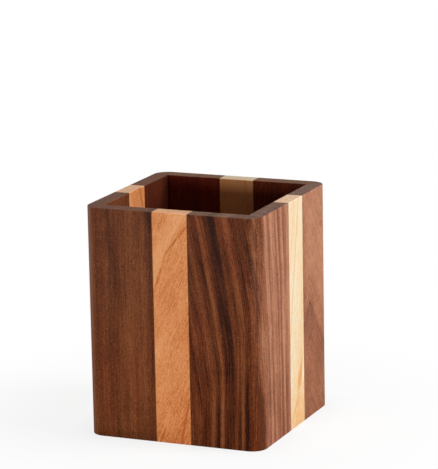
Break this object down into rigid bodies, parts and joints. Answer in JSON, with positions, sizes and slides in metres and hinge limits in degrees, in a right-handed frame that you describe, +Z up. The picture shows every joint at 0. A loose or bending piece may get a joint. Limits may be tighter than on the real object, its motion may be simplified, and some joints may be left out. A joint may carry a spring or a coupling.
{
  "type": "pen cup",
  "caption": "Square open-topped wooden pen cup with mitred walls of dark and pale upright staves, rounded corners and a let-in base board.",
  "frame": {"origin": "middle of the underside, on the surface that the cup stands on", "axes": "+X to the right of the front face, +Y from the front face to the back face, +Z up to the open rim"},
  "size_m": [0.08, 0.08, 0.1],
  "materials": {
    "walnut": "sanded and oiled, satin",
    "cherry": "sanded and oiled, satin",
    "maple": "sanded and oiled, satin"
  },
  "bodies": {
    "root": {"front_wall_left_walnut": "walnut", "front_wall_cherry_stripe": "cherry", "front_wall_right_walnut": "walnut", "right_wall_front_walnut": "walnut", "right_wall_maple_stripe": "maple", "right_wall_rear_walnut": "walnut", "back_wall_left_walnut": "walnut", "back_wall_maple_stripe": "maple", "back_wall_right_walnut": "walnut", "left_wall_front_walnut": "walnut", "left_wall_cherry_stripe": "cherry", "left_wall_rear_walnut": "walnut", "base_board": "walnut"}
  },
  "joints": []
}
